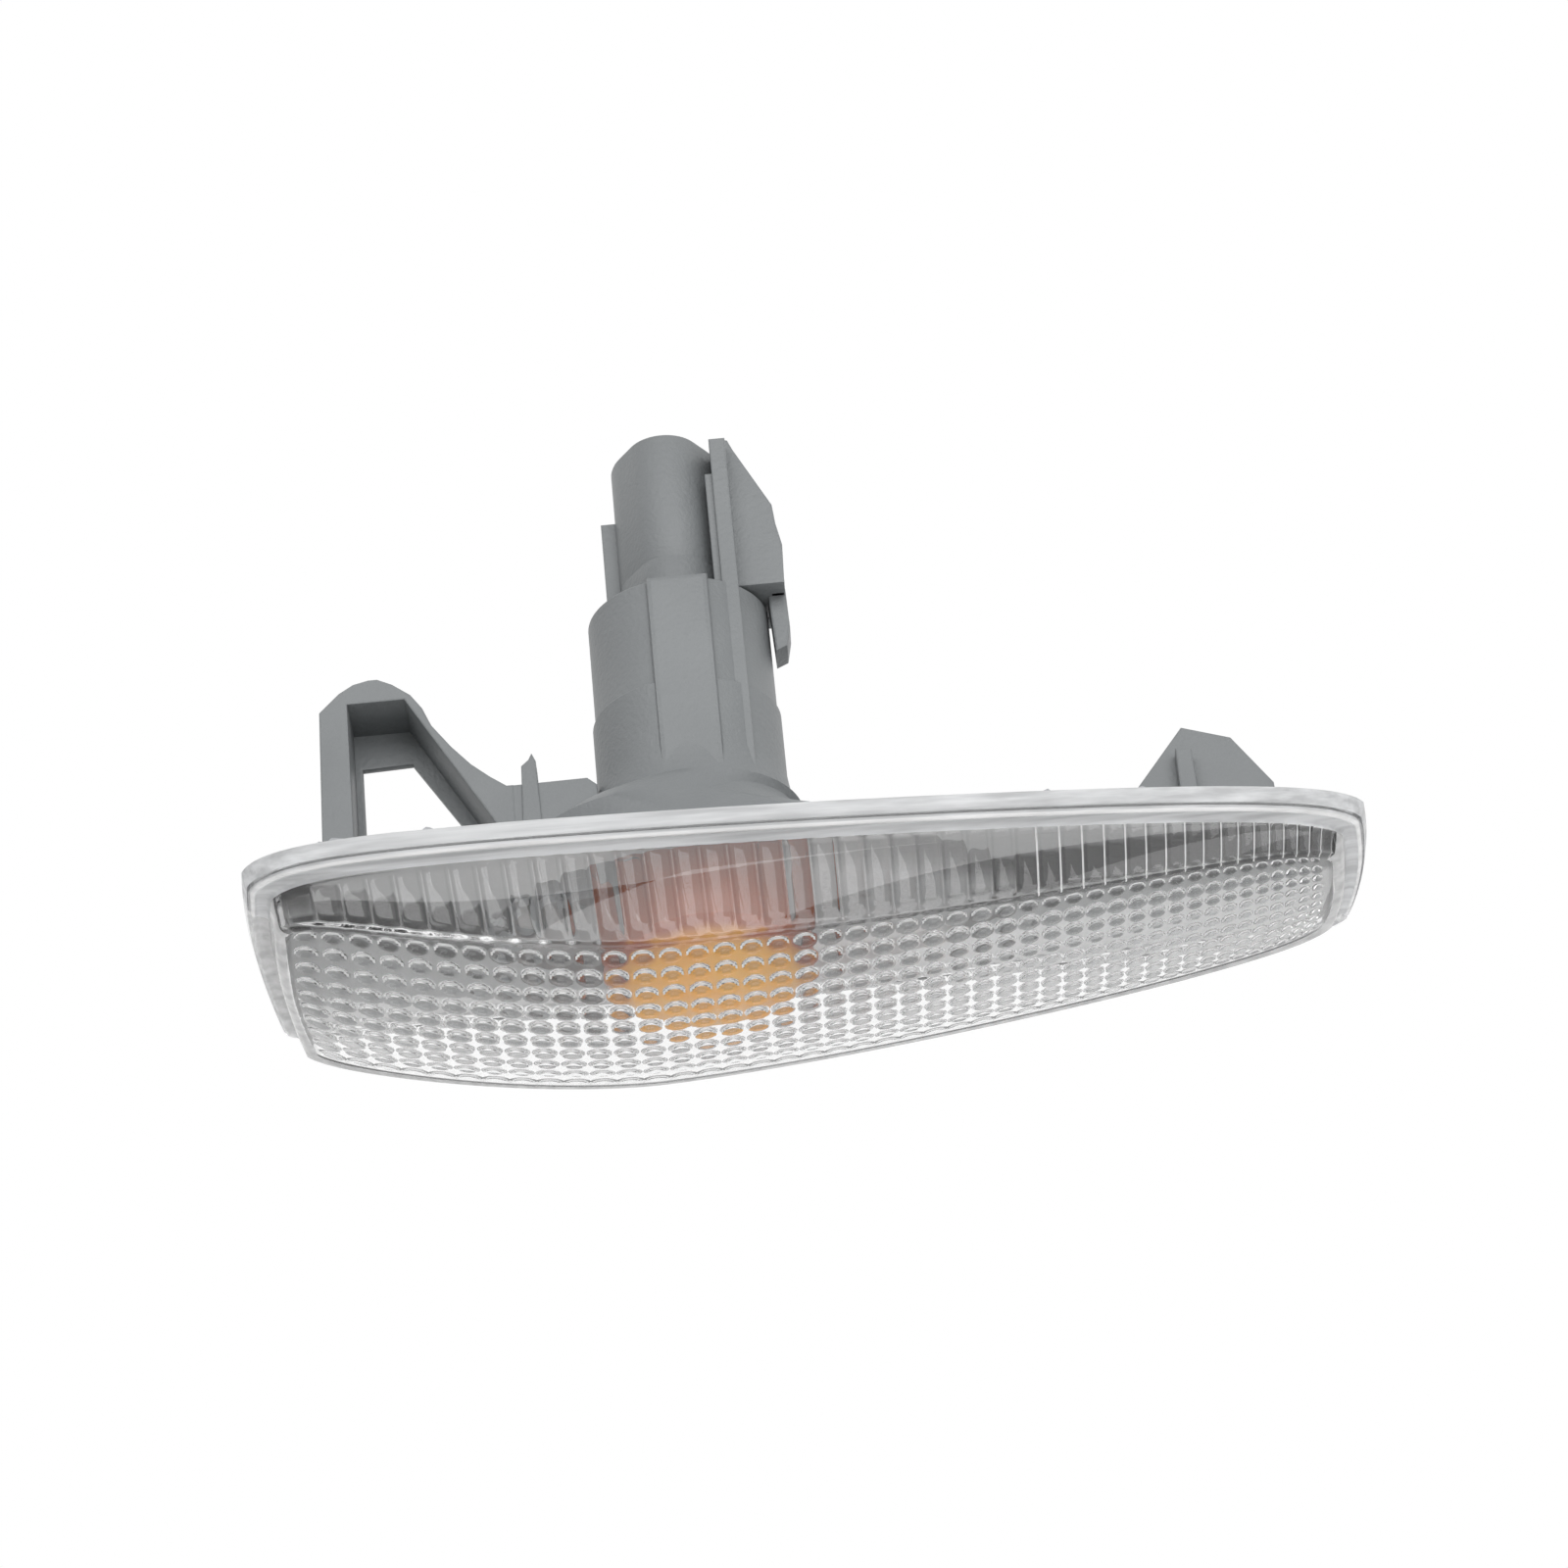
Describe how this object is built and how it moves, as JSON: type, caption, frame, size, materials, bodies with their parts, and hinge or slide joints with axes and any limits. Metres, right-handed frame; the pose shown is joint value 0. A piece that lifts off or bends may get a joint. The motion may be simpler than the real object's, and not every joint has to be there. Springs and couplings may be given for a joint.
{
  "type": "side repeater lamp",
  "caption": "Slim side repeater lamp: clear fluted and dotted lens, amber cap, grey housing with bulb tower, connector socket, spring clip and locating tab.",
  "frame": {"origin": "where the axis of the bulb tower crosses the rear face of the housing plate", "axes": "+Y out of the rear face along the tower, into the car body; -Y is the way the lens faces; +X along the lamp from the spring clip end to the locating tab end; +Z towards the fluted long side"},
  "size_m": [0.12, 0.0727, 0.0422],
  "materials": {
    "clear_lens": "clear moulded plastic, smooth outside, patterned inside",
    "grey_housing": "fine moulded grain, grey",
    "joint_bead": "squeezed-out joint material, pale grey",
    "amber_plastic": "translucent amber moulding",
    "bulb_glass": "clear blown glass",
    "filament_metal": "dark coiled wire",
    "wire_metal": "drawn wire",
    "holder_plastic": "plain moulded black",
    "contact_metal": "stamped strip"
  },
  "bodies": {
    "root": {"outer_lens": "clear_lens", "housing": "grey_housing", "weld_bead": "joint_bead", "amber_cap": "amber_plastic", "bulb_glass": "bulb_glass", "bulb_filament": "filament_metal", "bulb_wire_left": "wire_metal", "bulb_wire_right": "wire_metal", "bulb_holder": "holder_plastic", "contact_left": "contact_metal", "contact_right": "contact_metal"}
  },
  "joints": []
}
